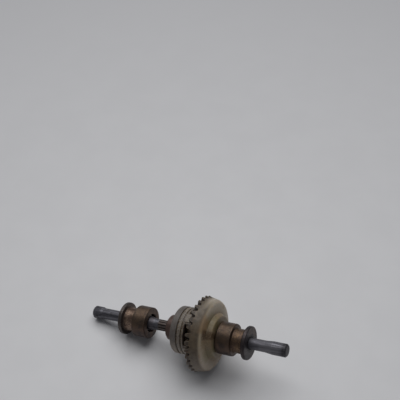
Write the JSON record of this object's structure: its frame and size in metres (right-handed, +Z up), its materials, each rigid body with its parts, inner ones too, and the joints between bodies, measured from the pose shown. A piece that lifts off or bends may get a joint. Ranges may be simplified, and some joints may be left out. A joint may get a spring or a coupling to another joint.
{
  "type": "differential axle",
  "caption": "Small bevel differential: a crown gear and cage on splined half shafts, each running in a flanged spool bush.",
  "frame": {"origin": "on the axle line at mid length between the two shaft tips", "axes": "+X along the axle towards the short half shaft, beyond the crown gear's smooth back; +Z up"},
  "size_m": [0.0962, 0.0336, 0.0336],
  "materials": {
    "cream_nylon": "aged translucent nylon with old grease",
    "grey_nylon": "grey-beige filled nylon, oily",
    "planet_nylon": "greasy nylon",
    "sintered_bronze": "oil-soaked sintered bronze",
    "bush_bronze": "turned bronze, dark with oxide",
    "shaft_steel": "dark blued steel with bright wear",
    "spring_steel": "oiled spring steel",
    "washer_steel": "plain steel",
    "pin_steel": "ground steel",
    "screw_steel": "zinc-plated steel, dull"
  },
  "bodies": {
    "right_bearing": {"right_bush": "bush_bronze"},
    "left_bearing": {"left_bush": "bush_bronze"},
    "carrier": {"crown_gear": "cream_nylon", "case_cap": "grey_nylon", "cap_screws": "screw_steel", "cross_pin": "pin_steel", "upper_planet_washer": "washer_steel", "lower_planet_washer": "washer_steel", "left_side_washer": "washer_steel", "right_side_washer": "washer_steel"},
    "left_output": {"left_side_gear": "sintered_bronze", "left_half_shaft": "shaft_steel", "left_shaft_clip": "spring_steel", "left_bush_washer": "washer_steel"},
    "right_output": {"right_side_gear": "sintered_bronze", "right_half_shaft": "shaft_steel", "right_shaft_clip": "spring_steel", "right_bush_washer": "washer_steel"},
    "upper_planet": {"upper_planet_gear": "planet_nylon"},
    "lower_planet": {"lower_planet_gear": "planet_nylon"}
  },
  "joints": [
    {"name": "carrier_spin", "type": "hinge", "parent": "right_bearing", "child": "carrier", "pos_m": [0.006, 0, 0], "axis": [1, 0, 0], "continuous": true},
    {"name": "left_output_spin", "type": "hinge", "parent": "carrier", "child": "left_output", "pos_m": [0, 0, 0], "axis": [1, 0, 0], "continuous": true},
    {"name": "right_output_spin", "type": "hinge", "parent": "carrier", "child": "right_output", "pos_m": [0.02, 0, 0], "axis": [1, 0, 0], "continuous": true},
    {"name": "upper_planet_spin", "type": "hinge", "parent": "carrier", "child": "upper_planet", "pos_m": [0.006, 0, 0], "axis": [0, -0.0872, 0.9962], "continuous": true},
    {"name": "lower_planet_spin", "type": "hinge", "parent": "carrier", "child": "lower_planet", "pos_m": [0.006, 0, 0], "axis": [0, 0.0872, -0.9962], "continuous": true},
    {"name": "left_bush_slide", "type": "slide", "parent": "right_bearing", "child": "left_bearing", "axis": [-1, 0, 0], "range_m": [0, 0.0115]}
  ],
  "couplings": [
    {"joint": "right_output_spin", "follows": "left_output_spin", "ratio": -1},
    {"joint": "upper_planet_spin", "follows": "left_output_spin", "ratio": 1.2},
    {"joint": "lower_planet_spin", "follows": "left_output_spin", "ratio": 1.2}
  ]
}
